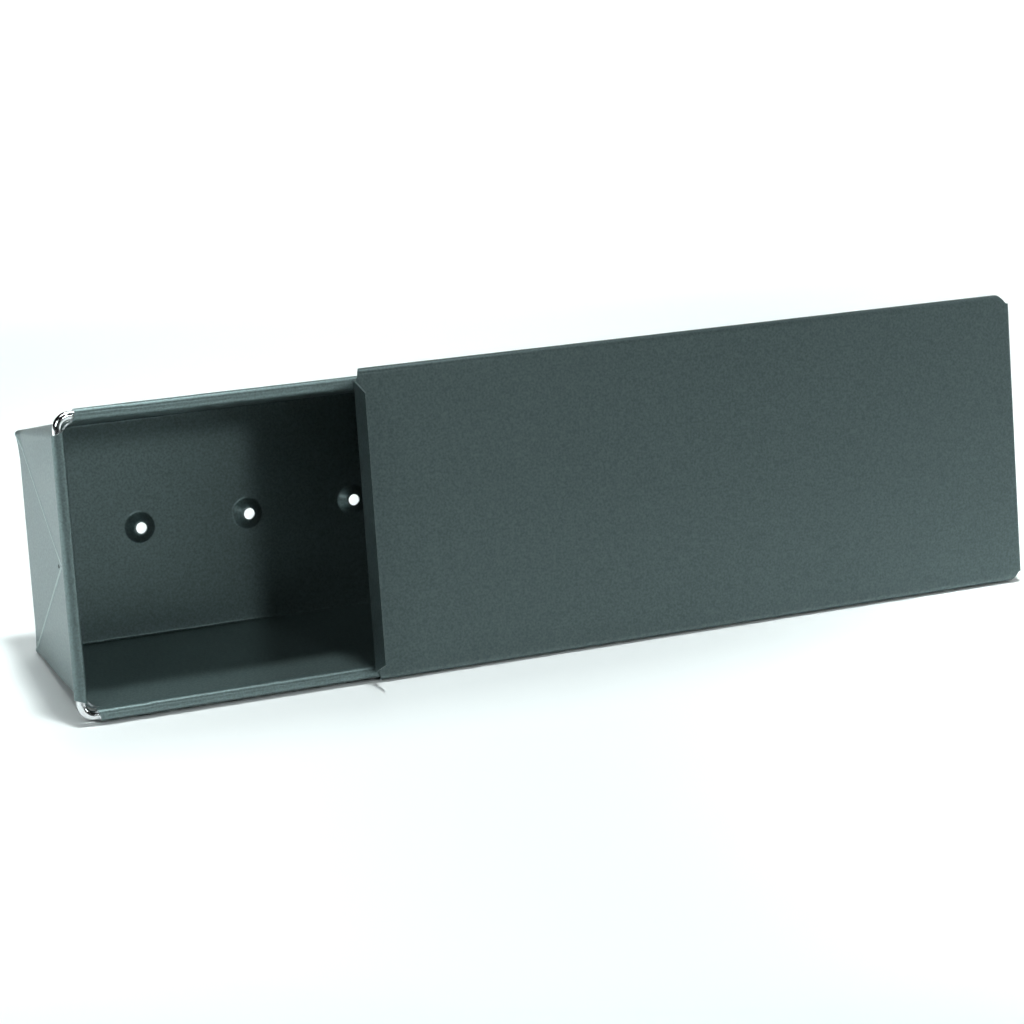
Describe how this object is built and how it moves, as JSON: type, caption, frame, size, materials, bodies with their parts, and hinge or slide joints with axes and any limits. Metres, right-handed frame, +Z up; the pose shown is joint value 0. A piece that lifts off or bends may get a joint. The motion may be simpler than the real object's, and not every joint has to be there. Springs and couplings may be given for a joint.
{
  "type": "pullman loaf pan",
  "caption": "Folded steel loaf pan with wire-rolled rims, vented bottom and a lid that slides along the rims, lying on its side with the lid part open.",
  "frame": {"origin": "middle of the bottom of the whole part's box, as it lies with the lid part open", "axes": "+X along the pan towards the side that the lid slides out of, -Y out of the mouth, +Z up as the pan lies on one long side"},
  "size_m": [0.3922, 0.1038, 0.1117],
  "materials": {
    "pan_coating": "satin non-stick coating",
    "lid_coating": "satin non-stick coating",
    "wire": "bright drawn wire"
  },
  "bodies": {
    "pan": {"pan_shell": "pan_coating", "rim_wire": "wire"},
    "lid": {"lid": "lid_coating"}
  },
  "joints": [
    {"name": "lid_slide", "type": "slide", "parent": "pan", "child": "lid", "axis": [1, 0, 0], "range_m": [-0.1113, 0.175]}
  ]
}
